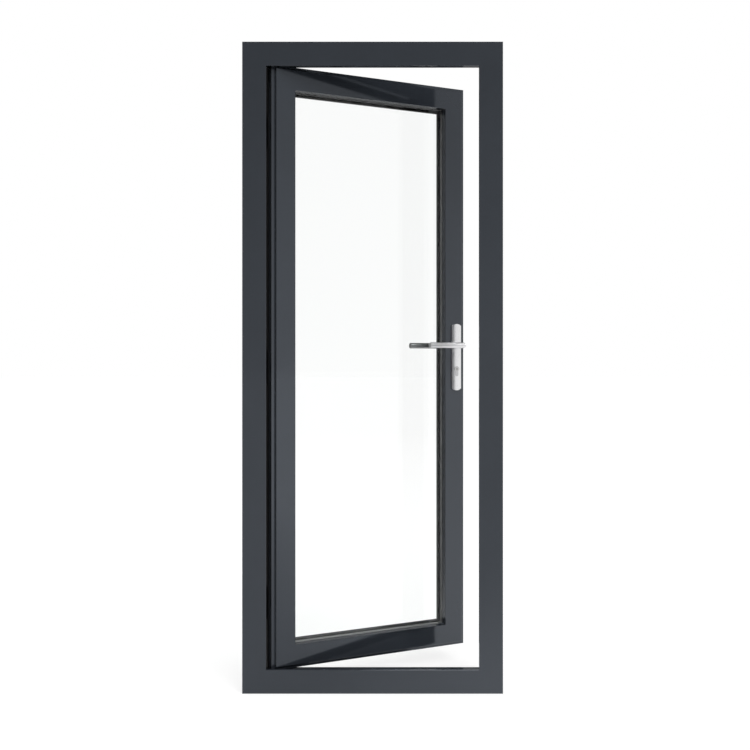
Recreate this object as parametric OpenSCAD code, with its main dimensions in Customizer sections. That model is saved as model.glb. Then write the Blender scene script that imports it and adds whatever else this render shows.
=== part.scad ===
// Glass entrance door in its frame: thermally broken aluminium profiles, double glazing, lever lock.
// Millimetres. X runs right as seen from outside, Y runs inward, Z is up.
// The origin is the middle of the sill's underside. The leaf is drawn closed, then swung open.

/* [Overall] */
// Outer width of the frame
frame_w = 800; // [760:5:1100]
// Outer height of the frame
frame_h = 2000; // [1900:5:2300]
// Depth of all profiles, outer face to inner face
depth = 62; // [62:1:76]
// How far the leaf stands open, degrees
open_deg = 23; // [0:1:90]

/* [Frame profile] */
// Width of the frame seen from outside, stop flange included
face_w = 73; // [68:1:90]
// Thickness of the stop flange
flange_t = 9; // [8.5:0.5:10]
// Wall of the extruded shells
wall = 2; // [1.6:0.1:2.4]
// Thicker wall that holds the insulating strips
mid_wall = 4; // [3.6:0.1:5]
// Depth of each aluminium shell
shell_d = 22; // [21:0.5:24]
// Small bevel along the visible edges
soft = 0.8; // [0.4:0.1:1.2]
// Length of the corner cleats past the corner
cleat_arm = 40; // [30:5:60]

/* [Leaf profile] */
// Gap between stop flange and leaf, seen from outside
flange_gap = 3; // [2.5:0.1:5]
// How far the rear part of the leaf laps behind the stop flange
leaf_step = 12; // [11:0.5:16]
// Depth at which that rear part starts
step_d = 12; // [12:0.5:13]
// Gap between leaf edge and frame recess
recess_gap = 4; // [3.8:0.1:6]
// Width of stiles and rails seen from outside
leaf_face = 62; // [60:1:80]
// Height of the glazing rebate
glaze_h = 20; // [18:1:21]
// Bevel of the glazing beads towards the glass
bead_bevel = 4; // [3:0.5:8]
// Wall of the glazing beads
bead_wall = 1.5; // [1.2:0.1:2]
// How far the glazing bead stands above the outer lip
bead_rise = 6; // [0:0.5:8]
// How far the edge seal stands off the leaf edge
edge_seal_t = 3; // [2:0.5:3]

/* [Insulating strips] */
// Web of the strips
web_t = 2.4; // [2:0.1:3]
// Width of the dovetail heads
head_w = 4; // [3.6:0.1:4.6]
// Depth of the dovetail heads
head_d = 2.2; // [1.6:0.1:2.4]
// Distance of a strip from the profile edge
strip_in = 5; // [4:0.5:6]
// How much a strip stops short of the mitre at each end
strip_short = 0.2; // [0.1:0.1:1]

/* [Glazing] */
// Thickness of each pane
pane_t = 4; // [3:0.5:4]
// Space between the panes
cavity = 16; // [12:1:16]
// Thickness of the glazing gaskets
gasket_t = 3; // [2.5:0.5:4]
// How far the glass reaches into the rebate
bite = 15; // [12:1:16]
// Height of the spacer bar
spacer_h = 9; // [6:0.5:10]
// Height of the edge seal behind the spacer
seal_h = 5; // [2:0.5:5]
// Length of the setting packers
packer_len = 80; // [60:5:120]
// Distance of the packers from the leaf corners
packer_in = 140; // [120:5:200]
// Distance of the bottom packers from the glass corners
packer_side = 40; // [30:5:80]

/* [Hinges] */
// Height of one hinge
hinge_h = 100; // [80:5:140]
// Height of the lowest hinge above the sill underside
hinge_low = 260; // [220:10:400]
// Outer radius of the barrel
barrel_r = 9; // [8:0.5:10]
// Radius of the hinge pin
pin_r = 5; // [4:0.5:6]
// Radial play of the pin in the knuckles
pin_play = 0.05; // [0.02:0.01:0.1]
// How far the hinge axis stands inside the inner faces
hinge_off = 11; // [11:0.5:14]
// Gap between the knuckles
knuckle_gap = 0.5; // [0.4:0.1:1]
// Width of the flaps
flap_w = 36; // [34:1:40]
// Thickness of the flaps
flap_t = 4; // [3:0.5:5]

/* [Lock] */
// Height of the lever axis above the sill underside
lever_z = 1071; // [950:1:1150]
// Distance from lever axis to key cylinder axis
lock_centres = 78; // [72:1:92]
// Distance from the leaf edge to the lever axis
backset = 35; // [34:1:36]
// Width of faceplate and strike plate
faceplate_w = 24; // [22:1:28]
// Thickness of faceplate and strike plate
faceplate_t = 3; // [2:0.5:3]
// Thickness of the lock case
case_t = 16; // [15:0.5:17]
// Depth of the lock case behind the faceplate
case_d = 50; // [48:0.5:51]
// Reach of the lock case below the key cylinder axis
case_below = 33; // [30:1:40]
// Sheet of the lock case
case_wall = 1.5; // [1:0.1:2]
// How far the latch stands out of the faceplate
latch_out = 11.5; // [9:0.5:12]
// Height of the latch
latch_h = 26; // [20:1:28]
// Thickness of the latch
latch_t = 12; // [8:0.5:12]
// Height of the dead bolt
bolt_h = 30; // [24:1:32]
// Thickness of the dead bolt
bolt_t = 10; // [8:0.5:12]
// Room between the dead bolt and the cam's sweep
bolt_clear = 3.7; // [2:0.1:6]
// Length of the dead bolt
bolt_len = 42; // [38:1:44]
// Sliding play around latch and bolt
slide_gap = 0.3; // [0.3:0.05:0.5]
// Play around faceplate and strike plate in their pockets
seat_play = 0.1; // [0.05:0.05:0.3]
// Turning play of follower, lever necks and key plugs
turn_play = 0.06; // [0.02:0.01:0.1]

/* [Key cylinder] */
// Radius of the round part of the cylinder
cyl_r = 8.5; // [8.5:0.5:8.5]
// Width of the leg of the cylinder
cyl_leg = 10; // [10:0.5:10]
// Full height of the cylinder
cyl_h = 33; // [33:0.5:33]
// How far the cylinder stands out of the handle plates
cyl_proud = 1; // [0.5:0.5:3]
// Radius of the key plugs
plug_r = 6.5; // [6:0.5:7]
// Depth of the key slots
key_depth = 26; // [22:1:28]
// Reach of the cam
cam_r = 14.3; // [12:0.1:14.5]
// Thickness of the cam
cam_t = 9.4; // [8:0.2:9.6]

/* [Handles] */
// Width of the handle plates
plate_w = 34; // [28:1:38]
// Height of the handle plates
plate_h = 222; // [216:2:260]
// Height of the plate above the lever axis
plate_up = 72; // [70:1:76]
// Thickness of the handle plates
plate_t = 8; // [7:0.5:10]
// Radius of the plate's rounded ends
plate_end_r = 26; // [19:1:40]
// Radius of the plate's curved front
plate_dome_r = 62; // [50:1:120]
// Radius of the lever's bearing stub inside the plate
neck_r = 8; // [7:0.5:8.5]
// Radius of the lever's neck and grip
grip_r = 9.5; // [9:0.5:11]
// Bevel round the end of the grip
grip_soft = 1.2; // [0.5:0.1:3]
// Distance of the grip axis from the leaf face
lever_out = 46; // [45:1:60]
// Reach of the lever from its axis
lever_len = 120; // [100:1:140]
// Radius of the plate's collar round the lever neck
collar_r = 13; // [11:0.5:15]
// Height of the collar above the plate
collar_h = 3; // [2:0.5:5]
// Gap between the collar and the lever
collar_gap = 0.4; // [0.3:0.1:0.8]
// Side of the square spindle
spindle_a = 8; // [7:0.5:9]

/* [Fasteners and holes] */
// Radius of the fixing holes in the jambs
fix_r = 4; // [3:0.5:5]
// Distance of the outer fixing holes from the frame ends
fix_end = 180; // [150:10:200]
// Half distance between the inner fixing holes
fix_mid = 300; // [200:10:400]
// Half distance between the fixing holes in the sill
sill_fix = 250; // [150:10:300]
// Shank radius of the screws
screw_r = 2.4; // [2:0.1:2.5]
// Head radius of the screws
screw_head_r = 4.4; // [4:0.1:4.6]
// Head height of the screws
screw_head_h = 2.4; // [2:0.1:3]
// Length of the hinge screws under the head
hinge_screw_len = 16; // [12:1:18]
// Play around screw shanks
screw_play = 0.1; // [0.05:0.05:0.3]

/* [Hidden] */
$fn = 64;
eps = 0.01;

coat = [0.20, 0.22, 0.24];
nylon = [0.05, 0.05, 0.05];
rubber = [0.03, 0.03, 0.03];
raw_alu = [0.70, 0.71, 0.73];
satin = [0.80, 0.81, 0.82];
steel = [0.60, 0.61, 0.63];
clear = [0.75, 0.85, 0.85, 0.35];
grey = [0.62, 0.63, 0.64];
brass = [0.78, 0.76, 0.70];

// Positions shared by the parts
lap = flange_gap - leaf_step;
body_w = face_w + lap - recess_gap;
leaf_hw = frame_w / 2 - face_w - flange_gap;
leaf_w = 2 * leaf_hw;
leaf_z0 = face_w + flange_gap;
leaf_h = frame_h - 2 * leaf_z0;
inner_d = depth - shell_d;
rebate = leaf_face - glaze_h;
leaf_strip_a = strip_in - leaf_step;
leaf_strip_b = rebate - head_w / 2 - 1.5;
frame_strip_a = strip_in + 1;
frame_strip_b = body_w - strip_in - 1;
groove_w = 3.2;
groove_d = 2.2;
groove_s = body_w + (face_w - body_w) / 2 + 0.5;
lip_groove = leaf_face - 8;
pane_d1 = shell_d + gasket_t;
pane_d2 = pane_d1 + pane_t + cavity;
bead_d = pane_d2 + pane_t + gasket_t;
bead_s = leaf_face + bead_rise;
glass_e = leaf_face - bite;
axis_x = -frame_w / 2 + body_w;
axis_d = depth + hinge_off;
hinge_zs = [hinge_low, frame_h / 2, frame_h - hinge_low];
knuckle_h = (hinge_h - 2 * knuckle_gap) / 3;
lock_d = depth / 2;
edge_seal_d0 = lock_d + faceplate_w / 2 + 0.4;
edge_seal_d1 = depth - soft;
edge_seal_d = (edge_seal_d0 + edge_seal_d1) / 2;
edge_foot = 1.2;
lever_e = backset - leaf_step;
lever_x = leaf_hw - lever_e;
edge_x = leaf_hw + leaf_step;
strike_x = frame_w / 2 - body_w;
cyl_z = lever_z - lock_centres;
face_up = 75;
face_down = 133;
case_up = 48;
case_down = lock_centres + case_below;
latch_z = lever_z + 13;
bolt_z = cyl_z + cam_r + bolt_clear;
screw_up = case_up + 10;
screw_down = case_down + 19;
spindle_reach = lever_out - grip_r - 5;
face_screw_up = 62;
face_screw_down = 120;
fix_d = depth - shell_d / 2;
cyl_len = depth + 2 * plate_t + 2 * cyl_proud;
arm_r = 15;
arm_tip = 2.5;
arm_deg = 25;
fix_zs = [fix_end, frame_h / 2 - fix_mid, frame_h / 2 + fix_mid, frame_h - fix_end];

function yd(d) = d - depth / 2;

// Rectangle in a profile section: depth from d0 to d1, width from s0 to s1
module sec(d0, d1, s0, s1) {
  translate([yd(d0), s0]) square([d1 - d0, s1 - s0]);
}

// Box given by x, depth and z limits
module blk(x0, x1, d0, d1, z0, z1) {
  translate([x0, yd(d0), z0]) cube([x1 - x0, d1 - d0, z1 - z0]);
}

// Rod along the depth
module rod(x, z, d0, d1, r) {
  translate([x, yd(d0), z]) rotate([-90, 0, 0]) cylinder(r = r, h = d1 - d0);
}

// Rod along X
module rodx(x0, x1, d, z, r) {
  translate([x0, yd(d), z]) rotate([0, 90, 0]) cylinder(r = r, h = x1 - x0);
}

// Bar along X with its section standing up in Z and both ends mitred
module bar(len, lo, hi) {
  intersection() {
    rotate([90, 0, 90]) linear_extrude(height = len - 2 * lo + 2, center = true) children();
    rotate([90, 0, 0]) linear_extrude(height = 4 * depth, center = true)
      polygon([[-len / 2 + lo, lo], [len / 2 - lo, lo], [len / 2 - hi, hi], [-len / 2 + hi, hi]]);
  }
}

// The four places of a bar in a frame of size w by h whose lower edge is at z0
module low(z0) { translate([0, 0, z0]) children(); }
module high(z0, h) { translate([0, 0, z0 + h]) rotate([0, 180, 0]) children(); }
module left(w, z0, h) { translate([-w / 2, 0, z0 + h / 2]) rotate([0, 90, 0]) children(); }
module right(w, z0, h) { translate([w / 2, 0, z0 + h / 2]) rotate([0, -90, 0]) children(); }

// Closed ring of four mitred bars
module ring(w, h, z0, lo, hi) {
  union() {
    low(z0) bar(w, lo, hi) children();
    high(z0, h) bar(w, lo, hi) children();
    left(w, z0, h) bar(h, lo, hi) children();
    right(w, z0, h) bar(h, lo, hi) children();
  }
}

// Turns leaf parts from the closed place to the open one
module on_leaf() {
  translate([axis_x, yd(axis_d), 0]) rotate([0, 0, open_deg])
    translate([-axis_x, -yd(axis_d), 0]) children();
}

// Dovetail of an insulating strip in the outer and the inner shell
module tail_outer(s) {
  polygon([[yd(shell_d - head_d), s - head_w / 2], [yd(shell_d), s - web_t / 2],
    [yd(shell_d), s + web_t / 2], [yd(shell_d - head_d), s + head_w / 2]]);
}
module tail_inner(s) {
  polygon([[yd(inner_d), s - web_t / 2], [yd(inner_d + head_d), s - head_w / 2],
    [yd(inner_d + head_d), s + head_w / 2], [yd(inner_d), s + web_t / 2]]);
}
module strip_section(s) {
  polygon([[yd(shell_d - head_d), s - head_w / 2], [yd(shell_d), s - web_t / 2],
    [yd(inner_d), s - web_t / 2], [yd(inner_d + head_d), s - head_w / 2],
    [yd(inner_d + head_d), s + head_w / 2], [yd(inner_d), s + web_t / 2],
    [yd(shell_d), s + web_t / 2], [yd(shell_d - head_d), s + head_w / 2]]);
}

module strip_bar(len, s) {
  bar(len - 2 * strip_short, s - head_w / 2, s + head_w / 2) strip_section(s);
}

// Sections of the frame profile
module frame_outer_section() {
  difference() {
    polygon([[yd(0), 0], [yd(shell_d), 0], [yd(shell_d), body_w], [yd(flange_t), body_w],
      [yd(flange_t), face_w], [yd(soft), face_w], [yd(0), face_w - soft]]);
    sec(wall, shell_d - mid_wall, wall, body_w - wall);
    sec(wall, flange_t - groove_d - wall, body_w, face_w - wall);
    sec(flange_t - groove_d, flange_t + 1, groove_s - groove_w / 2, groove_s + groove_w / 2);
    tail_outer(frame_strip_a);
    tail_outer(frame_strip_b);
  }
}
module frame_inner_section() {
  difference() {
    polygon([[yd(inner_d), 0], [yd(depth), 0], [yd(depth), body_w - soft],
      [yd(depth - soft), body_w], [yd(inner_d), body_w]]);
    sec(inner_d + mid_wall, depth - wall, wall, body_w - wall);
    tail_inner(frame_strip_a);
    tail_inner(frame_strip_b);
  }
}

// Sections of the leaf profile
module edge_seal_foot() {
  polygon([[yd(edge_seal_d - 1.4), -leaf_step - 1], [yd(edge_seal_d - 1.8), -leaf_step + edge_foot],
    [yd(edge_seal_d + 1.8), -leaf_step + edge_foot], [yd(edge_seal_d + 1.4), -leaf_step - 1]]);
}
module leaf_outer_section() {
  difference() {
    polygon([[yd(0), soft], [yd(soft), 0], [yd(step_d), 0], [yd(step_d), -leaf_step],
      [yd(shell_d), -leaf_step], [yd(shell_d), leaf_face], [yd(soft), leaf_face],
      [yd(0), leaf_face - soft]]);
    polygon([[yd(wall), wall], [yd(step_d + wall), wall], [yd(step_d + wall), wall - leaf_step],
      [yd(shell_d - mid_wall), wall - leaf_step], [yd(shell_d - mid_wall), rebate - wall],
      [yd(wall), rebate - wall]]);
    sec(wall, shell_d - mid_wall, rebate, leaf_face - wall);
    sec(shell_d - groove_d, shell_d + 1, lip_groove - groove_w / 2, lip_groove + groove_w / 2);
    tail_outer(leaf_strip_a);
    tail_outer(leaf_strip_b);
  }
}
module leaf_inner_section() {
  difference() {
    polygon([[yd(inner_d), -leaf_step], [yd(depth - soft), -leaf_step], [yd(depth), soft - leaf_step],
      [yd(depth), rebate], [yd(inner_d), rebate]]);
    sec(inner_d + mid_wall, depth - wall, wall - leaf_step, rebate - 2 * wall);
    sec(bead_d + 2.5, bead_d + 5, rebate - wall, rebate + 1);
    edge_seal_foot();
    tail_inner(leaf_strip_a);
    tail_inner(leaf_strip_b);
  }
}

// Hollow glazing bead with its clip foot
module bead_section() {
  difference() {
    polygon([[yd(bead_d), rebate], [yd(bead_d + 2.5), rebate], [yd(bead_d + 2.5), rebate - wall],
      [yd(bead_d + 5), rebate - wall], [yd(bead_d + 5), rebate], [yd(depth), rebate],
      [yd(depth), bead_s - bead_bevel], [yd(depth - bead_bevel), bead_s], [yd(bead_d), bead_s]]);
    polygon([[yd(bead_d + bead_wall), rebate + bead_wall], [yd(depth - bead_wall), rebate + bead_wall],
      [yd(depth - bead_wall), bead_s - bead_bevel - bead_wall / 2],
      [yd(depth - bead_bevel - bead_wall / 2), bead_s - bead_wall],
      [yd(bead_d + bead_wall), bead_s - bead_wall]]);
  }
}

// Rubber sections
module edge_seal_section() {
  union() {
    edge_seal_foot();
    polygon([[yd(edge_seal_d0), -leaf_step], [yd(edge_seal_d0), -leaf_step - 1],
      [yd(edge_seal_d0 + 2), -leaf_step - edge_seal_t], [yd(edge_seal_d1 - 1), -leaf_step - edge_seal_t],
      [yd(edge_seal_d1), -leaf_step - edge_seal_t + 1], [yd(edge_seal_d1), -leaf_step]]);
  }
}
module frame_gasket_section() {
  polygon([[yd(flange_t - groove_d), groove_s - groove_w / 2], [yd(flange_t), groove_s - groove_w / 2],
    [yd(flange_t), groove_s - 3], [yd(step_d - 0.3), groove_s - 1.8], [yd(step_d - 0.3), groove_s + 2],
    [yd(flange_t), groove_s + 4], [yd(flange_t), groove_s + groove_w / 2],
    [yd(flange_t - groove_d), groove_s + groove_w / 2]]);
}
module glazing_gasket_section() {
  polygon([[yd(shell_d), lip_groove - 4], [yd(shell_d), lip_groove - groove_w / 2],
    [yd(shell_d - groove_d), lip_groove - groove_w / 2],
    [yd(shell_d - groove_d), lip_groove + groove_w / 2],
    [yd(shell_d), lip_groove + groove_w / 2], [yd(shell_d), leaf_face - 0.6],
    [yd(pane_d1), leaf_face - 0.6], [yd(pane_d1), lip_groove - 4]]);
}

// Screw with its seat at the origin, head towards +Z and shank towards -Z
module screw(len) {
  difference() {
    union() {
      translate([0, 0, -len]) cylinder(r = screw_r, h = len);
      cylinder(r1 = screw_head_r, r2 = screw_head_r - 0.8, h = screw_head_h);
    }
    translate([0, 0, screw_head_h - 1.4]) cylinder(r = 1.7, h = 2, $fn = 6);
  }
}

// Holes for the frame fixings through the inner shell of a jamb
module fixing_holes(side) {
  for (z = fix_zs)
    rodx(side < 0 ? -frame_w / 2 - 1 : strike_x - 1, side < 0 ? axis_x + 1 : frame_w / 2 + 1,
      fix_d, z, fix_r);
}

// Holes for the sill fixings, two through each shell
module sill_holes(d) {
  for (x = [-sill_fix, sill_fix])
    translate([x, yd(d), -1]) cylinder(r = fix_r, h = body_w + 2);
}

// Screw places on the hinges: column offsets from the axis and row offsets from the middle
hinge_cols = [barrel_r + 13, barrel_r + 29];
hinge_rows = [-hinge_h / 2 + 15, hinge_h / 2 - 15];
module hinge_screw_places(side) {
  for (hz = hinge_zs) for (c = hinge_cols) for (r = hinge_rows)
    translate([axis_x + side * c, yd(depth), hz + r]) rotate([-90, 0, 0]) children();
}
module hinge_holes(side) {
  hinge_screw_places(side) translate([0, 0, -10]) cylinder(r = screw_r + screw_play, h = 20);
}

// Outline of faceplate and strike plate between two x limits, grown by g for the pockets they sit in
module plate_block(x0, x1, g) {
  blk(x0, x1, lock_d - faceplate_w / 2 - g, lock_d + faceplate_w / 2 + g,
    lever_z - face_down - g, lever_z + face_up + g);
}

// Outline of the key cylinder, its round part at the origin, grown by g
module cyl_outline(g) {
  circle(r = cyl_r + g);
  translate([-cyl_leg / 2 - g, -(cyl_h - cyl_r - cyl_leg / 2)])
    square([cyl_leg + 2 * g, cyl_h - cyl_r - cyl_leg / 2]);
  translate([0, -(cyl_h - cyl_r - cyl_leg / 2)]) circle(r = cyl_leg / 2 + g);
}
module cyl_solid(d0, d1, g) {
  translate([lever_x, yd(d1), cyl_z]) rotate([90, 0, 0]) linear_extrude(height = d1 - d0) cyl_outline(g);
}

// Openings in a leaf shell for spindle, cylinder and handle screws
module lock_holes(d0, d1) {
  rod(lever_x, lever_z, d0, d1, neck_r + 1.5);
  cyl_solid(d0, d1, 0.6);
  rod(lever_x, lever_z + screw_up, d0, d1, screw_r + 0.4);
  rod(lever_x, lever_z - screw_down, d0, d1, screw_r + 0.4);
}

// Frame members
module frame_bar(len) { bar(len, 0, face_w) frame_outer_section(); }
module frame_bar_in(len) { bar(len, 0, body_w) frame_inner_section(); }
module frame_head_outer() { color(coat) high(0, frame_h) frame_bar(frame_w); }
module frame_head_inner() { color(coat) high(0, frame_h) frame_bar_in(frame_w); }
module frame_sill_outer() {
  color(coat) difference() {
    low(0) frame_bar(frame_w);
    sill_holes(shell_d / 2);
  }
}
module frame_sill_inner() {
  color(coat) difference() {
    low(0) frame_bar_in(frame_w);
    sill_holes(fix_d);
  }
}
module frame_hinge_jamb_outer() { color(coat) left(frame_w, 0, frame_h) frame_bar(frame_h); }
module frame_hinge_jamb_inner() {
  color(coat) difference() {
    left(frame_w, 0, frame_h) frame_bar_in(frame_h);
    fixing_holes(-1);
    hinge_holes(-1);
  }
}
module frame_lock_jamb_outer() {
  color(coat) difference() {
    right(frame_w, 0, frame_h) frame_bar(frame_h);
    plate_block(strike_x - 1, strike_x + faceplate_t + seat_play, seat_play);
  }
}
module frame_lock_jamb_inner() {
  color(coat) difference() {
    right(frame_w, 0, frame_h) frame_bar_in(frame_h);
    fixing_holes(1);
    plate_block(strike_x - 1, strike_x + faceplate_t + seat_play, seat_play);
  }
}

// Windows in the strike plate, one for the latch and one for the dead bolt
module strike_windows(x0, x1, g) {
  blk(x0, x1, lock_d - latch_t / 2 - g, lock_d + latch_t / 2 + g, latch_z - g, latch_z + latch_h + g);
  blk(x0, x1, lock_d - bolt_t / 2 - g, lock_d + bolt_t / 2 + g, bolt_z - g, bolt_z + bolt_h + g);
}
module strike_screw_places() {
  for (z = [lever_z + face_screw_up, lever_z - 4, lever_z - face_screw_down])
    translate([strike_x, yd(lock_d), z]) rotate([0, -90, 0]) children();
}
module strike_plate() {
  color(steel) difference() {
    plate_block(strike_x, strike_x + faceplate_t, 0);
    strike_windows(strike_x - 1, strike_x + faceplate_t + 1, 1);
    strike_screw_places() sunk_hole(20);
  }
}
module strike_screws() { color(steel) strike_screw_places() sunk_screw(14); }

// Countersunk screw, its flat head level with the origin plane, shank towards -Z
module sunk_screw(len) {
  difference() {
    union() {
      translate([0, 0, -2]) cylinder(r1 = screw_r, r2 = screw_head_r, h = 2);
      translate([0, 0, -len]) cylinder(r = screw_r, h = len - 1.9);
    }
    translate([0, 0, -1.3]) cylinder(r = 1.5, h = 2, $fn = 6);
  }
}
module sunk_hole(len) {
  translate([0, 0, -2]) cylinder(r1 = screw_r + screw_play, r2 = screw_head_r + screw_play, h = 2);
  translate([0, 0, -len]) cylinder(r = screw_r + screw_play, h = len - 1.9);
  translate([0, 0, -eps]) cylinder(r = screw_head_r + screw_play, h = 1);
}

module frame_insulating_strips() {
  color(nylon) difference() {
    for (s = [frame_strip_a, frame_strip_b]) {
      low(0) strip_bar(frame_w, s);
      high(0, frame_h) strip_bar(frame_w, s);
      left(frame_w, 0, frame_h) strip_bar(frame_h, s);
      right(frame_w, 0, frame_h) strip_bar(frame_h, s);
    }
    strike_windows(strike_x, strike_x + 20, 10);
    strike_screw_places() translate([0, 0, -20]) cylinder(r = screw_r + screw_play, h = 20);
  }
}

// Corner cleats: one angle per corner in a chamber from s0 to s1 and depth d0 to d1
module cleat(w, h, z0, d0, d1, s0, s1, arm) {
  for (m = [-1, 1]) for (t = [0, 1])
    translate([0, 0, z0 + h / 2]) mirror([m < 0 ? 0 : 1, 0, 0]) mirror([0, 0, t])
      translate([-w / 2, 0, -h / 2]) union() {
        blk(s0, s1 + arm, d0, d1, s0, s1);
        blk(s0, s1, d0, d1, s0, s1 + arm);
      }
}
module frame_corner_cleats() {
  color(raw_alu) {
    cleat(frame_w, frame_h, 0, wall + 0.1, shell_d - mid_wall - 0.1, wall + 0.1,
      body_w - wall - 0.1, cleat_arm);
    cleat(frame_w, frame_h, 0, inner_d + mid_wall + 0.1, depth - wall - 0.1, wall + 0.1,
      body_w - wall - 0.1, cleat_arm);
  }
}
module leaf_corner_cleats() {
  color(raw_alu) on_leaf() {
    cleat(leaf_w, leaf_h, leaf_z0, wall + 0.1, shell_d - mid_wall - 0.1, wall + 0.1,
      rebate - wall - 0.1, cleat_arm);
    cleat(leaf_w, leaf_h, leaf_z0, inner_d + mid_wall + 0.1, depth - wall - 0.1, wall - leaf_step + 0.1,
      rebate - 2 * wall - 0.1, cleat_arm);
  }
}
module leaf_edge_seal() {
  color(rubber) on_leaf()
    ring(leaf_w, leaf_h, leaf_z0, -leaf_step - edge_seal_t, edge_foot - leaf_step) edge_seal_section();
}
module frame_gasket() {
  color(rubber) ring(frame_w, frame_h, 0, groove_s - 3, groove_s + 4) frame_gasket_section();
}

// Hinges: the frame holds the outer knuckles and the pin, the leaf the middle knuckle
module knuckle(z, h) {
  translate([axis_x, yd(axis_d), z]) cylinder(r = barrel_r, h = h);
}
module knuckle_web(side, z, h) {
  x1 = side < 0 ? 1 : recess_gap + 0.5;
  translate([axis_x, yd(axis_d), z]) linear_extrude(height = h)
    polygon([[side * (barrel_r + 8), -hinge_off], [side * x1, -hinge_off], [side * 1, -barrel_r + 1],
      [0, 0], [side * barrel_r, 0], [side * (barrel_r + 8), flap_t - hinge_off]]);
}
module flap(side, hz) {
  x0 = side * (barrel_r + 1.5);
  x1 = side * (barrel_r + 1.5 + flap_w);
  translate([axis_x, 0, 0])
    blk(min(x0, x1), max(x0, x1), depth, depth + flap_t, hz - hinge_h / 2, hz + hinge_h / 2);
}
module pin_hole(hz) {
  translate([axis_x, yd(axis_d), hz - hinge_h]) cylinder(r = pin_r + pin_play, h = 2 * hinge_h);
}
module frame_flap(hz) {
  difference() {
    union() {
      flap(-1, hz);
      for (z = [hz - hinge_h / 2, hz + hinge_h / 2 - knuckle_h]) {
        knuckle(z, knuckle_h);
        knuckle_web(-1, z, knuckle_h);
      }
    }
    pin_hole(hz);
    hinge_holes(-1);
  }
}
module leaf_flap(hz) {
  difference() {
    union() {
      flap(1, hz);
      knuckle(hz - knuckle_h / 2, knuckle_h);
      knuckle_web(1, hz - knuckle_h / 2, knuckle_h);
    }
    pin_hole(hz);
    hinge_holes(1);
  }
}
module hinge_top_frame_flap() { color(coat) frame_flap(hinge_zs[2]); }
module hinge_middle_frame_flap() { color(coat) frame_flap(hinge_zs[1]); }
module hinge_bottom_frame_flap() { color(coat) frame_flap(hinge_zs[0]); }
module hinge_top_leaf_flap() { color(coat) on_leaf() leaf_flap(hinge_zs[2]); }
module hinge_middle_leaf_flap() { color(coat) on_leaf() leaf_flap(hinge_zs[1]); }
module hinge_bottom_leaf_flap() { color(coat) on_leaf() leaf_flap(hinge_zs[0]); }
module hinge_pins() {
  color(steel) for (hz = hinge_zs) translate([axis_x, yd(axis_d), hz]) {
    translate([0, 0, -hinge_h / 2 - 1]) cylinder(r = pin_r, h = hinge_h + 2);
    translate([0, 0, hinge_h / 2]) cylinder(r1 = barrel_r - 0.5, r2 = barrel_r - 2, h = 3);
    translate([0, 0, -hinge_h / 2 - 3]) cylinder(r1 = barrel_r - 2, r2 = barrel_r - 0.5, h = 3);
  }
}
module hinge_frame_screws() {
  color(steel) hinge_screw_places(-1) translate([0, 0, flap_t]) screw(hinge_screw_len);
}
module hinge_leaf_screws() {
  color(steel) on_leaf() hinge_screw_places(1) translate([0, 0, flap_t]) screw(hinge_screw_len);
}

// Leaf members
module leaf_bar(len) { bar(len, -leaf_step, leaf_face) leaf_outer_section(); }
module leaf_bar_in(len) { bar(len, -leaf_step, rebate) leaf_inner_section(); }
module leaf_top_rail_outer() { color(coat) on_leaf() high(leaf_z0, leaf_h) leaf_bar(leaf_w); }
module leaf_top_rail_inner() { color(coat) on_leaf() high(leaf_z0, leaf_h) leaf_bar_in(leaf_w); }
module leaf_bottom_rail_outer() { color(coat) on_leaf() low(leaf_z0) leaf_bar(leaf_w); }
module leaf_bottom_rail_inner() { color(coat) on_leaf() low(leaf_z0) leaf_bar_in(leaf_w); }
module leaf_hinge_stile_outer() { color(coat) on_leaf() left(leaf_w, leaf_z0, leaf_h) leaf_bar(leaf_h); }
module leaf_hinge_stile_inner() {
  color(coat) on_leaf() difference() {
    left(leaf_w, leaf_z0, leaf_h) leaf_bar_in(leaf_h);
    hinge_holes(1);
  }
}
module leaf_lock_stile_outer() {
  color(coat) on_leaf() difference() {
    right(leaf_w, leaf_z0, leaf_h) leaf_bar(leaf_h);
    plate_block(edge_x - faceplate_t - seat_play, edge_x + 1, seat_play);
    lock_holes(-1, shell_d + 1);
  }
}
module leaf_lock_stile_inner() {
  color(coat) on_leaf() difference() {
    right(leaf_w, leaf_z0, leaf_h) leaf_bar_in(leaf_h);
    plate_block(edge_x - faceplate_t - seat_play, edge_x + 1, seat_play);
    lock_holes(inner_d - 1, depth + 1);
  }
}
module leaf_insulating_strips() {
  color(nylon) on_leaf() difference() {
    for (s = [leaf_strip_a, leaf_strip_b]) {
      low(leaf_z0) strip_bar(leaf_w, s);
      high(leaf_z0, leaf_h) strip_bar(leaf_w, s);
      left(leaf_w, leaf_z0, leaf_h) strip_bar(leaf_h, s);
      right(leaf_w, leaf_z0, leaf_h) strip_bar(leaf_h, s);
    }
    blk(leaf_hw - rebate, edge_x, shell_d - 4, inner_d + 4, lever_z - case_down - 1, lever_z + case_up + 1);
    face_screw_places() translate([0, 0, -20]) cylinder(r = screw_r + screw_play, h = 20);
  }
}

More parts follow.
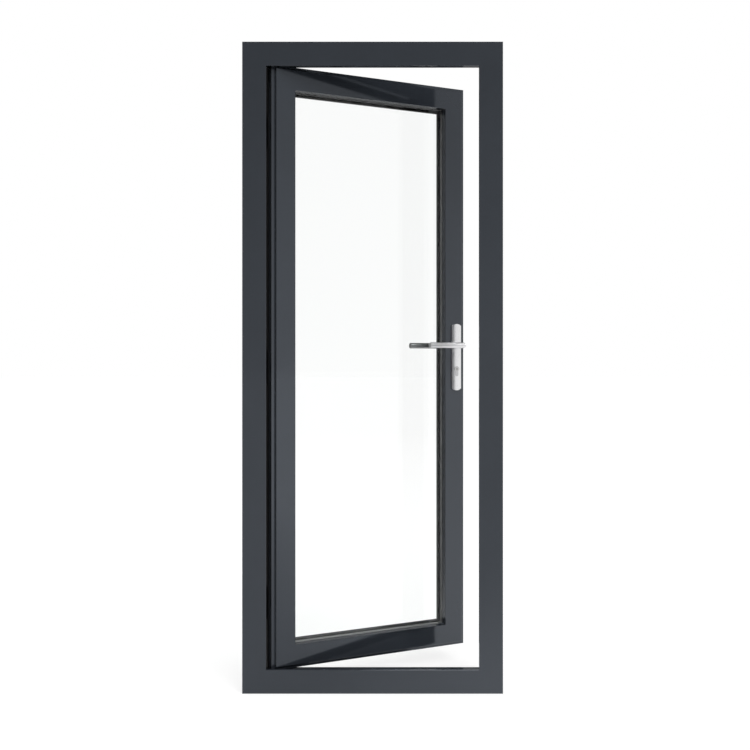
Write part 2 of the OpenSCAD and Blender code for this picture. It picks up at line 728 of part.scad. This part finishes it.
// Glazing
module pane(d0) {
  blk(-leaf_hw + glass_e, leaf_hw - glass_e, d0, d0 + pane_t,
    leaf_z0 + glass_e, leaf_z0 + leaf_h - glass_e);
}
module glass_ring(d0, d1, e0, e1) {
  difference() {
    blk(-leaf_hw + e0, leaf_hw - e0, d0, d1, leaf_z0 + e0, leaf_z0 + leaf_h - e0);
    blk(-leaf_hw + e1, leaf_hw - e1, d0 - 1, d1 + 1, leaf_z0 + e1, leaf_z0 + leaf_h - e1);
  }
}
module glass_outer_pane() { color(clear) on_leaf() pane(pane_d1); }
module glass_inner_pane() { color(clear) on_leaf() pane(pane_d2); }
module glass_spacer() {
  color(grey) on_leaf()
    glass_ring(pane_d1 + pane_t, pane_d2, glass_e + seal_h, glass_e + seal_h + spacer_h);
}
module glass_edge_seal() {
  color(rubber) on_leaf() glass_ring(pane_d1 + pane_t, pane_d2, glass_e, glass_e + seal_h);
}
module glazing_gasket_outer() {
  color(rubber) on_leaf() ring(leaf_w, leaf_h, leaf_z0, lip_groove - 4, leaf_face) glazing_gasket_section();
}
module glazing_gasket_inner() {
  color(rubber) on_leaf() glass_ring(bead_d - gasket_t, bead_d, glass_e + 3, bead_s - 0.6);
}
module bead_bar(len) { bar(len, rebate - wall, bead_s) bead_section(); }
module bead_top() { color(coat) on_leaf() high(leaf_z0, leaf_h) bead_bar(leaf_w); }
module bead_bottom() { color(coat) on_leaf() low(leaf_z0) bead_bar(leaf_w); }
module bead_hinge_side() { color(coat) on_leaf() left(leaf_w, leaf_z0, leaf_h) bead_bar(leaf_h); }
module bead_lock_side() { color(coat) on_leaf() right(leaf_w, leaf_z0, leaf_h) bead_bar(leaf_h); }
module glazing_packers() {
  px = leaf_hw - glass_e - packer_len - packer_side;
  color(nylon) on_leaf() {
    for (x = [-px - packer_len, px])
      blk(x, x + packer_len, shell_d + 1, bead_d - 1, leaf_z0 + rebate, leaf_z0 + glass_e);
    blk(-leaf_hw + rebate, -leaf_hw + glass_e, shell_d + 1, bead_d - 1,
      leaf_z0 + packer_in, leaf_z0 + packer_in + packer_len);
    blk(leaf_hw - glass_e, leaf_hw - rebate, shell_d + 1, bead_d - 1,
      leaf_z0 + leaf_h - packer_in - packer_len, leaf_z0 + leaf_h - packer_in);
  }
}

// Lock
module face_screw_places() {
  for (z = [lever_z + face_screw_up, lever_z - face_screw_down])
    translate([edge_x, yd(lock_d), z]) rotate([0, 90, 0]) children();
}
module cyl_screw_place() {
  translate([edge_x, yd(lock_d), cyl_z - 20]) rotate([0, 90, 0]) children();
}
module lock_faceplate() {
  color(steel) on_leaf() difference() {
    plate_block(edge_x - faceplate_t, edge_x, 0);
    strike_windows(edge_x - faceplate_t - 1, edge_x + 1, slide_gap);
    face_screw_places() sunk_hole(20);
    cyl_screw_place() sunk_hole(20);
  }
}
module lock_screws() {
  color(steel) on_leaf() {
    face_screw_places() sunk_screw(14);
    cyl_screw_place() sunk_screw(backset + 2);
  }
}
module lock_case() {
  x0 = edge_x - faceplate_t - case_d;
  x1 = edge_x - faceplate_t;
  color(steel) on_leaf() difference() {
    blk(x0, x1, lock_d - case_t / 2, lock_d + case_t / 2, lever_z - case_down, lever_z + case_up);
    blk(x0 + case_wall, x1 + 1, lock_d - case_t / 2 + case_wall, lock_d + case_t / 2 - case_wall,
      lever_z - case_down + case_wall, lever_z + case_up - case_wall);
    rod(lever_x, lever_z, 0, depth, cyl_r - 1.5 + turn_play);
    cyl_solid(0, depth, 0.2);
  }
}
module lock_follower() {
  half = case_t / 2;
  color(steel) on_leaf() difference() {
    union() {
      rod(lever_x, lever_z, lock_d - half, lock_d + half, cyl_r - 1.5);
      rod(lever_x, lever_z, lock_d - half + case_wall + 0.2, lock_d + half - case_wall - 0.2, cyl_r);
      translate([lever_x, yd(lock_d), lever_z]) rotate([0, arm_deg, 0]) {
        translate([-arm_tip, -2, 0]) cube([2 * arm_tip, 4, arm_r]);
        translate([0, 2, arm_r]) rotate([90, 0, 0]) cylinder(r = arm_tip, h = 4);
      }
    }
    blk(lever_x - spindle_a / 2 - turn_play, lever_x + spindle_a / 2 + turn_play, 0, depth,
      lever_z - spindle_a / 2 - turn_play, lever_z + spindle_a / 2 + turn_play);
  }
}
// Latch: slanted nose, tail above the follower arm, and the block that the arm pushes
module latch_bolt() {
  block_x = lever_x + (cyl_r + 2.5 - arm_tip * sin(arm_deg)) * tan(arm_deg) - arm_tip * cos(arm_deg) - 0.5;
  tail_z = lever_z + arm_r + arm_tip + 0.7;
  nose = edge_x + latch_out;
  color(satin) on_leaf() union() {
    translate([0, 0, latch_z]) linear_extrude(height = latch_h)
      polygon([[edge_x - 10, yd(lock_d - latch_t / 2)], [edge_x - 0.5, yd(lock_d - latch_t / 2)],
        [nose, yd(lock_d + latch_t / 2 - 2.5)], [nose, yd(lock_d + latch_t / 2)],
        [edge_x - 10, yd(lock_d + latch_t / 2)]]);
    blk(block_x - 4, edge_x - 9, lock_d - 3, lock_d + 3, tail_z, tail_z + 8);
    blk(block_x - 4, block_x, lock_d - 3, lock_d + 3, lever_z + cyl_r + 2.5, tail_z + 1);
  }
}
module dead_bolt() {
  color(satin) on_leaf()
    blk(edge_x - 0.2 - bolt_len, edge_x - 0.2, lock_d - bolt_t / 2, lock_d + bolt_t / 2,
      bolt_z, bolt_z + bolt_h);
}

// Key cylinder
module cylinder_body() {
  d0 = -plate_t - cyl_proud;
  color(satin) on_leaf() difference() {
    cyl_solid(d0, d0 + cyl_len, 0);
    rod(lever_x, cyl_z, d0 - 1, d0 + cyl_len + 1, plug_r + turn_play);
    blk(lever_x - 20, lever_x + 20, lock_d - cam_t / 2 - 0.3, lock_d + cam_t / 2 + 0.3,
      cyl_z - cam_r - 0.6, cyl_z + cyl_r + 1);
    rodx(lever_x - 3, edge_x, lock_d, cyl_z - 20, screw_r + screw_play);
  }
}
module cylinder_plugs() {
  d0 = -plate_t - cyl_proud;
  color(brass) on_leaf() for (m = [0, 1]) mirror([0, m, 0]) difference() {
    rod(lever_x, cyl_z, d0, lock_d - cam_t / 2 - 0.1, plug_r);
    blk(lever_x - 1.2, lever_x + 1.2, d0 - 1, d0 + key_depth, cyl_z - 4.5, cyl_z + 4);
  }
}
module cylinder_cam() {
  color(steel) on_leaf() union() {
    rod(lever_x, cyl_z, lock_d - cam_t / 2, lock_d + cam_t / 2, cyl_r - 0.3);
    blk(lever_x - 3.8, lever_x + 3.8, lock_d - cam_t / 2, lock_d + cam_t / 2, cyl_z - cam_r + 1, cyl_z);
    rod(lever_x, cyl_z - cam_r + 3.8, lock_d - cam_t / 2, lock_d + cam_t / 2, 3.8);
  }
}

// Handle plates: arched ends and a gently curved front
module plate_outline() {
  intersection() {
    translate([-plate_w / 2, plate_up - plate_h]) square([plate_w, plate_h]);
    union() {
      translate([0, plate_up - plate_end_r]) circle(r = plate_end_r);
      translate([0, plate_up - plate_h + plate_end_r]) circle(r = plate_end_r);
      translate([-plate_w / 2, plate_up - plate_h + plate_end_r])
        square([plate_w, plate_h - 2 * plate_end_r]);
    }
  }
}
// Plate on the outer face, its back at depth 0, with a collar round the lever neck
module plate_blank() {
  difference() {
    union() {
      intersection() {
        translate([lever_x, yd(0), lever_z]) rotate([90, 0, 0])
          linear_extrude(height = plate_t) plate_outline();
        translate([lever_x, yd(plate_dome_r - plate_t), lever_z - plate_h])
          cylinder(r = plate_dome_r, h = 2 * plate_h, $fn = 128);
      }
      rod(lever_x, lever_z, -plate_t - collar_h, -plate_t / 2, collar_r);
    }
    rod(lever_x, lever_z, -plate_t - collar_h - 1, 1, neck_r + turn_play);
    cyl_solid(-plate_t - 1, 1, 0.15);
  }
}
module handle_plate_outer() {
  color(satin) on_leaf() difference() {
    plate_blank();
    for (z = [screw_up, -screw_down]) rod(lever_x, lever_z + z, -plate_t + 2.5, 1, screw_r + screw_play);
  }
}
module handle_plate_inner() {
  color(satin) on_leaf() difference() {
    mirror([0, 1, 0]) plate_blank();
    for (z = [screw_up, -screw_down])
      translate([lever_x, yd(depth + plate_t), lever_z + z]) rotate([-90, 0, 0]) sunk_hole(20);
  }
}
module handle_screws() {
  color(steel) on_leaf() for (z = [screw_up, -screw_down])
    translate([lever_x, yd(depth + plate_t), lever_z + z]) rotate([-90, 0, 0])
      sunk_screw(depth + 2 * plate_t - 3);
}

// Half of space on one side of the elbow's mitre: side 0 holds the neck, side -1 the grip
module mitre_side(side) {
  big = 3 * lever_len;
  translate([lever_x, yd(-lever_out), lever_z]) rotate([0, 0, 45])
    translate([side * big, -big / 2, -big / 2]) cube(big);
}
// Lever: bearing stub, round neck and grip mitred at the elbow, flat end with a bevel
module lever_form() {
  a = spindle_a / 2 + turn_play;
  step_d = plate_t + collar_h + collar_gap;
  difference() {
    union() {
      rod(lever_x, lever_z, -step_d - 2, -0.5, neck_r);
      intersection() {
        rod(lever_x, lever_z, -lever_out - 2 * grip_r, -step_d, grip_r);
        mitre_side(0);
      }
      intersection() {
        translate([lever_x - lever_len, yd(-lever_out), lever_z]) rotate([0, 90, 0]) union() {
          cylinder(r1 = grip_r - grip_soft, r2 = grip_r, h = grip_soft);
          translate([0, 0, grip_soft]) cylinder(r = grip_r, h = lever_len + grip_r);
        }
        mitre_side(-1);
      }
    }
    blk(lever_x - a, lever_x + a, -spindle_reach - 1, 1, lever_z - a, lever_z + a);
  }
}
module lever_outer() { color(satin) on_leaf() lever_form(); }
module lever_inner() { color(satin) on_leaf() mirror([0, 1, 0]) lever_form(); }
module lever_spindle() {
  a = spindle_a / 2;
  color(steel) on_leaf()
    blk(lever_x - a, lever_x + a, -spindle_reach, depth + spindle_reach, lever_z - a, lever_z + a);
}

frame_head_outer();
frame_head_inner();
frame_sill_outer();
frame_sill_inner();
frame_hinge_jamb_outer();
frame_hinge_jamb_inner();
frame_lock_jamb_outer();
frame_lock_jamb_inner();
frame_insulating_strips();
frame_corner_cleats();
frame_gasket();
strike_plate();
strike_screws();
hinge_top_frame_flap();
hinge_middle_frame_flap();
hinge_bottom_frame_flap();
hinge_pins();
hinge_frame_screws();
leaf_top_rail_outer();
leaf_top_rail_inner();
leaf_bottom_rail_outer();
leaf_bottom_rail_inner();
leaf_hinge_stile_outer();
leaf_hinge_stile_inner();
leaf_lock_stile_outer();
leaf_lock_stile_inner();
leaf_insulating_strips();
leaf_corner_cleats();
leaf_edge_seal();
glass_outer_pane();
glass_inner_pane();
glass_spacer();
glass_edge_seal();
glazing_gasket_outer();
glazing_gasket_inner();
bead_top();
bead_bottom();
bead_hinge_side();
bead_lock_side();
glazing_packers();
hinge_top_leaf_flap();
hinge_middle_leaf_flap();
hinge_bottom_leaf_flap();
hinge_leaf_screws();
lock_case();
lock_faceplate();
lock_screws();
lock_follower();
latch_bolt();
dead_bolt();
cylinder_body();
cylinder_plugs();
cylinder_cam();
handle_plate_outer();
handle_plate_inner();
handle_screws();
lever_outer();
lever_inner();
lever_spindle();
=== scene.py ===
import math

import bpy
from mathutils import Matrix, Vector

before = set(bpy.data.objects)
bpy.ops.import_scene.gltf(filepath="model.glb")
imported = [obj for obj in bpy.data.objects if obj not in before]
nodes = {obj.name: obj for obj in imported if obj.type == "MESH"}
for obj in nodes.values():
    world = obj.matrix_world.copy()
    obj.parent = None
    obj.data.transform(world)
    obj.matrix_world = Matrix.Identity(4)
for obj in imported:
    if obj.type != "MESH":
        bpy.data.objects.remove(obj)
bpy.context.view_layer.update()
scene = bpy.context.scene

# Camera: straight at the door, at about chest height (metres; lens and sensor in mm)
EYE = (0.0074, -2.727, 1.0367)
LENS = 42.19
SENSOR = 36.0
SHIFT_Y = -0.0257
NEAREST, FARTHEST = 0.05, 200.0

# The leaf stands open by this angle in the frame, so grain along the levers is turned with it
LEAF_TURN = -math.radians(23)

# Edge breaks, in metres
PLATE_EDGE = 0.0009
FLAP_EDGE = 0.0006
FINE_EDGE = 0.0003
WELD_WITHIN = 0.00002
SHARP_FROM = math.radians(40)

# Floor and light
FLOOR_HALF = 40.0
FLOOR_Z = -0.0006  # just under the door, so that the two never share a plane
FLOOR_SLANT = 0.5  # how far the floor's mirrored brightness runs along Y beside X
SKY_LIGHT = 0.45
SUN_ANGLE = math.radians(50)


def add_camera():
    data = bpy.data.cameras.new("camera")
    data.lens = LENS
    data.sensor_width = SENSOR
    data.shift_y = SHIFT_Y
    data.clip_start = NEAREST
    data.clip_end = FARTHEST
    camera = bpy.data.objects.new("camera", data)
    camera.location = EYE
    camera.rotation_euler = (math.radians(90), 0, 0)
    scene.collection.objects.link(camera)
    scene.camera = camera


class Maker:
    """Builds one procedural material round a Principled shader."""

    def __init__(self, name, **sockets):
        self.mat = bpy.data.materials.new(name)
        self.mat.use_nodes = True
        self.tree = self.mat.node_tree
        self.shader = self.tree.nodes["Principled BSDF"]
        for key, value in sockets.items():
            self.shader.inputs[key.replace("_", " ")].default_value = value
        self.coord = self.tree.nodes.new("ShaderNodeTexCoord").outputs["Object"]

    def new(self, kind, **props):
        node = self.tree.nodes.new(kind)
        for key, value in props.items():
            setattr(node, key, value)
        return node

    def link(self, a, b):
        self.tree.links.new(a, b)

    def stretched(self, scale, turn=0.0):
        node = self.new("ShaderNodeMapping")
        node.inputs["Scale"].default_value = scale
        node.inputs["Rotation"].default_value = (0, 0, turn)
        self.link(self.coord, node.inputs["Vector"])
        return node.outputs["Vector"]

    def noise(self, scale, detail=2.0, rough=0.5, vector=None):
        node = self.new("ShaderNodeTexNoise")
        node.inputs["Scale"].default_value = scale
        node.inputs["Detail"].default_value = detail
        node.inputs["Roughness"].default_value = rough
        self.link(vector or self.coord, node.inputs["Vector"])
        return node.outputs["Fac"]

    def span(self, value, low, high, start=0.3, end=0.7):
        return ramps(self.tree, (value, start, end, low, high))

    def tones(self, value, *stops):
        node = self.new("ShaderNodeValToRGB")
        ramp = node.color_ramp
        while len(ramp.elements) < len(stops):
            ramp.elements.new(0.5)
        for element, (place, colour) in zip(ramp.elements, stops):
            element.position = place
            element.color = (*colour, 1)
        self.link(value, node.inputs["Fac"])
        return node.outputs["Color"]

    def mixed(self, fac, a, b):
        node = self.new("ShaderNodeMix", data_type="RGBA")
        self.link(fac, node.inputs["Factor"])
        self.link(a, node.inputs["A"])
        self.link(b, node.inputs["B"])
        return node.outputs["Result"]

    def colour(self, value):
        self.link(value, self.shader.inputs["Base Color"])

    def rough(self, value):
        self.link(value, self.shader.inputs["Roughness"])

    def bump(self, height, strength, depth):
        node = self.new("ShaderNodeBump")
        node.inputs["Strength"].default_value = strength
        node.inputs["Distance"].default_value = depth
        self.link(height, node.inputs["Height"])
        self.link(node.outputs["Normal"], self.shader.inputs["Normal"])


def tone(colour, k):
    return tuple(c * k for c in colour)


def maths(tree, operation, *values):
    """One Math node; each value is a socket or a number."""
    node = tree.nodes.new("ShaderNodeMath")
    node.operation = operation
    for socket, value in zip(node.inputs, values):
        if isinstance(value, float):
            socket.default_value = value
        else:
            tree.links.new(value, socket)
    return node.outputs[0]


def ramps(tree, *rows):
    """Product of straight ramps: a socket, where it starts and ends, and the values there."""
    product = None
    for socket, start, end, low, high in rows:
        ramp = tree.nodes.new("ShaderNodeMapRange")
        limits = {"From Min": start, "From Max": end, "To Min": low, "To Max": high}
        for key, value in limits.items():
            ramp.inputs[key].default_value = value
        tree.links.new(socket, ramp.inputs["Value"])
        result = ramp.outputs["Result"]
        product = maths(tree, "MULTIPLY", product, result) if product else result
    return product


# Lacquered aluminium: deep grey with a blue cast, pale flecks, fine flow marks in the gloss
def coat():
    m = Maker("coat_anthracite", Specular_IOR_Level=0.84, Specular_Tint=(0.85, 0.91, 1.0, 1))
    grey = (0.0205, 0.0240, 0.0297)
    cloud = m.noise(5.0, 3.0)
    fleck = m.noise(2600.0, 1.0)
    base = m.tones(cloud, (0.3, tone(grey, 0.92)), (0.7, tone(grey, 1.08)))
    light = m.tones(cloud, (0.3, tone(grey, 1.25)), (0.7, tone(grey, 1.45)))
    m.colour(m.mixed(m.span(fleck, 0.0, 1.0, 0.6, 0.75), base, light))
    m.rough(m.span(m.noise(30.0, 4.0), 0.06, 0.10))
    m.bump(m.noise(420.0, 2.0), 0.03, 0.0004)
    return m.mat


# Glass-filled nylon: black, dull, with short pale fibres
def plastic():
    m = Maker("nylon_black", Specular_IOR_Level=0.4)
    fibre = m.noise(900.0, 2.0, 0.7, m.stretched((1, 1, 0.15)))
    dark, mid, pale = (0.007, 0.007, 0.008), (0.012, 0.012, 0.013), (0.03, 0.03, 0.031)
    m.colour(m.tones(fibre, (0.35, dark), (0.62, mid), (0.75, pale)))
    m.rough(m.span(fibre, 0.42, 0.6))
    m.bump(fibre, 0.15, 0.0002)
    return m.mat


# Rubber seals: dark, soft sheen, fine pores
def rubber(name, grey):
    m = Maker(name, Specular_IOR_Level=0.3)
    pores = m.noise(1500.0, 3.0, 0.6)
    bloom = m.noise(9.0, 3.0)
    m.colour(m.tones(bloom, (0.3, (0.7 * grey,) * 3), (0.7, (1.3 * grey,) * 3)))
    m.rough(m.span(pores, 0.5, 0.68))
    m.bump(pores, 0.2, 0.0001)
    return m.mat


# Clear float glass with the faintest green, which lets the lamps' light through
def glass():
    m = Maker(
        "glass_clear",
        Transmission_Weight=1.0,
        Roughness=0.0,
        IOR=1.5,
        Specular_Tint=(0.35, 0.35, 0.35, 1),
    )
    thick, thin = (0.988, 0.994, 0.991), (0.996, 0.998, 0.997)
    m.colour(m.tones(m.noise(1.2, 1.0), (0.3, thick), (0.7, thin)))
    clear = m.new("ShaderNodeBsdfTransparent")
    clear.inputs["Color"].default_value = (0.93, 0.95, 0.94, 1)
    lets_light = m.new("ShaderNodeMixShader")
    m.link(m.new("ShaderNodeLightPath").outputs["Is Shadow Ray"], lets_light.inputs["Fac"])
    m.link(m.shader.outputs[0], lets_light.inputs[1])
    m.link(clear.outputs[0], lets_light.inputs[2])
    m.link(lets_light.outputs[0], m.tree.nodes["Material Output"].inputs["Surface"])
    return m.mat


# Metals, brushed along the axis that has the small scale in grain, or blasted with no grain
def metal(name, colour, low, high, grain=None, turn=0.0):
    m = Maker(name, Metallic=1.0)
    where = m.stretched(grain, turn) if grain else None
    lines = m.noise(900.0, 3.0, 0.65, where)
    cloud = m.noise(14.0, 3.0)
    a = m.tones(lines, (0.35, tone(colour, 0.93)), (0.65, tone(colour, 1.03)))
    b = m.tones(lines, (0.35, tone(colour, 0.88)), (0.65, tone(colour, 0.98)))
    m.colour(m.mixed(cloud, a, b))
    m.rough(m.span(lines, low, high))
    m.bump(lines, 0.12, 0.00006)
    return m.mat


# Spacer bar: dull grey with fine vents
def spacer():
    m = Maker("spacer_vented", Metallic=0.3, Specular_IOR_Level=0.4)
    cells = m.new("ShaderNodeTexVoronoi")
    cells.inputs["Scale"].default_value = 500.0
    m.link(m.coord, cells.inputs["Vector"])
    vent, bar = (0.10, 0.10, 0.102), (0.21, 0.21, 0.213)
    m.colour(m.tones(cells.outputs["Distance"], (0.10, vent), (0.16, bar)))
    m.rough(m.span(m.noise(700.0, 2.0), 0.35, 0.5))
    return m.mat


def dress():
    """Gives every CAD node its material, by its slot or, for a few nodes, by its name."""
    upright, along_lever = (1, 1, 0.05), (0.05, 1, 1)
    finish = {
        "anthracite_coat": coat(),
        "insulating_plastic": plastic(),
        "black_rubber": rubber("rubber_black", 0.005),
        "clear_glass": glass(),
        "spacer_grey": spacer(),
        "bare_aluminium": metal("aluminium_mill", (0.62, 0.62, 0.63), 0.3, 0.42, (1, 1, 0.06)),
        "satin_handle": metal("satin_plate", (0.95, 0.95, 0.96), 0.26, 0.36, upright),
        "lock_steel": metal("steel_plated", (0.60, 0.60, 0.61), 0.24, 0.36),
        "plug_brass": metal("nickel_plug", (0.66, 0.66, 0.65), 0.28, 0.36),
    }
    # dark is painted shade: the satin lever grey darkened for the inner lever
    light, dark = (0.92, 0.92, 0.93), (0.40, 0.40, 0.41)
    own = {
        "lever_outer": metal("satin_lever", light, 0.38, 0.46, along_lever, LEAF_TURN),
        # Painted shade: the inner lever is the same satin metal as the outer one, given a darker
        # grey for the shade it lies in behind the glass
        "lever_inner": metal("lever_inner_painted_shade", dark, 0.26, 0.34, along_lever, LEAF_TURN),
        "cylinder_body": metal("nickel_body", (0.64, 0.64, 0.65), 0.26, 0.34),
        "glazing_gasket_inner": rubber("rubber_grey", 0.042),
    }
    for name, obj in nodes.items():
        for place in obj.material_slots:
            key = place.material.name.split(".")[0]
            place.material = own.get(name) or finish[key]


def broken_edges(name, width, segments=3):
    """Rounds the sharp edges of a piece of pressed or cast hardware."""
    obj = nodes[name]
    weld = obj.modifiers.new("weld", "WELD")
    weld.merge_threshold = WELD_WITHIN
    bevel = obj.modifiers.new("edge", "BEVEL")
    bevel.width = width
    bevel.segments = segments
    bevel.limit_method = "ANGLE"
    bevel.angle_limit = SHARP_FROM
    even = obj.modifiers.new("even", "WEIGHTED_NORMAL")
    even.weight = 60


def break_hardware_edges():
    for name in ("handle_plate_outer", "handle_plate_inner"):
        broken_edges(name, PLATE_EDGE)
    for place in ("top", "middle", "bottom"):
        broken_edges("hinge_" + place + "_frame_flap", FLAP_EDGE)
        broken_edges("hinge_" + place + "_leaf_flap", FLAP_EDGE)
    for name in ("strike_plate", "lock_faceplate", "dead_bolt", "cylinder_body"):
        broken_edges(name, FINE_EDGE, 2)


def node_adder(tree):
    """A short form of adding a node with its numbers set."""

    def new(kind, **values):
        node = tree.nodes.new(kind)
        for key, value in values.items():
            node.inputs[key].default_value = value
        return node

    return new


def by_ray(tree, plain, mirrored, seen):
    """The plain shader for light, the mirrored one in gloss, the seen one by eye and in glass."""
    path = tree.nodes.new("ShaderNodeLightPath").outputs
    passed = path["Is Transmission Ray"]
    after_gloss = maths(tree, "GREATER_THAN", path["Glossy Depth"], 0.5)
    straight = maths(tree, "GREATER_THAN", passed, after_gloss)
    mirrored_in_glass = maths(tree, "MULTIPLY", passed, after_gloss)
    by_eye = maths(tree, "MAXIMUM", path["Is Camera Ray"], straight)
    by_gloss = maths(tree, "MAXIMUM", path["Is Glossy Ray"], mirrored_in_glass)
    shader = plain
    for fac, other in ((by_gloss, mirrored), (by_eye, seen)):
        mix = tree.nodes.new("ShaderNodeMixShader")
        tree.links.new(fac, mix.inputs["Fac"])
        tree.links.new(shader, mix.inputs[1])
        tree.links.new(other, mix.inputs[2])
        shader = mix.outputs[0]
    return shader


# Floor: white to the eye, with the door's soft shadow on it
def floor_material():
    mat = bpy.data.materials.new("floor_white")
    mat.use_nodes = True
    tree = mat.node_tree
    tree.nodes.clear()
    new, link = node_adder(tree), tree.links.new

    def diffuse(albedo):
        return new("ShaderNodeBsdfDiffuse", Color=(albedo, albedo, albedo, 1)).outputs[0]

    def lit(albedo, strength):
        glow = new("ShaderNodeEmission")
        link(strength, glow.inputs["Strength"])
        add = new("ShaderNodeAddShader")
        link(diffuse(albedo), add.inputs[0])
        link(glow.outputs[0], add.inputs[1])
        return add.outputs[0]

    coord = new("ShaderNodeTexCoord").outputs["Object"]
    split = new("ShaderNodeSeparateXYZ")
    link(coord, split.inputs[0])
    x, y = split.outputs["X"], split.outputs["Y"]
    length = new("ShaderNodeVectorMath")
    length.operation = "LENGTH"
    link(coord, length.inputs[0])
    far = length.outputs["Value"]
    slant = maths(tree, "MULTIPLY_ADD", y, FLOOR_SLANT, x)

    seen = lit(0.35, ramps(tree, (far, 2.0, 9.0, 0.70, 0.625)))
    # in gloss: brighter to the right, dim behind the door, and a little dim far away
    reflected = ramps(
        tree,
        (slant, -0.25, 0.6, 0.50, 1.0),
        (y, 0.1, 1.5, 1.0, 0.25),
        (far, 1.5, 6.0, 1.0, 0.9),
    )
    mirrored = lit(0.10, reflected)
    out = new("ShaderNodeOutputMaterial")
    link(by_ray(tree, diffuse(0.8), mirrored, seen), out.inputs["Surface"])
    return mat


def add_floor():
    mesh = bpy.data.meshes.new("floor")
    sides = ((-1, -1), (1, -1), (1, 1), (-1, 1))
    corners = [(x * FLOOR_HALF, y * FLOOR_HALF, FLOOR_Z) for x, y in sides]
    mesh.from_pydata(corners, [], [(0, 1, 2, 3)])
    mesh.materials.append(floor_material())
    floor = bpy.data.objects.new("floor", mesh)
    scene.collection.objects.link(floor)


# World: white to the eye and through glass, soft as light
def add_world():
    world = bpy.data.worlds.new("studio")
    scene.world = world
    world.use_nodes = True
    tree = world.node_tree
    tree.nodes.clear()
    new, link = node_adder(tree), tree.links.new

    def sky(strength):
        return new("ShaderNodeBackground", Color=(1, 1, 1, 1), Strength=strength)

    split = new("ShaderNodeSeparateXYZ")
    link(new("ShaderNodeTexCoord").outputs["Generated"], split.inputs[0])
    across, up = split.outputs["X"], split.outputs["Z"]
    # in gloss: brighter to the right, dim to the left and overhead
    reflected = ramps(
        tree,
        (across, 0.0, 0.75, 0.47, 0.86),
        (across, -0.6, -0.1, 0.62, 1.0),
        (up, 0.0, 0.32, 1.0, 0.58),
        (up, 0.4, 0.8, 1.0, 0.25),
    )
    mirrored = sky(1.0)
    link(reflected, mirrored.inputs["Strength"])
    plain, white = sky(SKY_LIGHT).outputs[0], sky(1.0).outputs[0]
    out = new("ShaderNodeOutputWorld")
    link(by_ray(tree, plain, mirrored.outputs[0], white), out.inputs["Surface"])


def add_sun(name, aim, strength):
    data = bpy.data.lights.new(name, "SUN")
    data.energy = strength
    data.angle = SUN_ANGLE
    obj = bpy.data.objects.new(name, data)
    obj.rotation_mode = "QUATERNION"
    obj.rotation_quaternion = Vector(aim).to_track_quat("-Z", "Y")
    scene.collection.objects.link(obj)


add_camera()
dress()
break_hardware_edges()
add_floor()
add_world()
add_sun("key", (-0.35, 0.7, -0.9), 2.3)
add_sun("fill", (0.5, -0.5, -1.0), 0.4)

scene.view_settings.view_transform = "Standard"
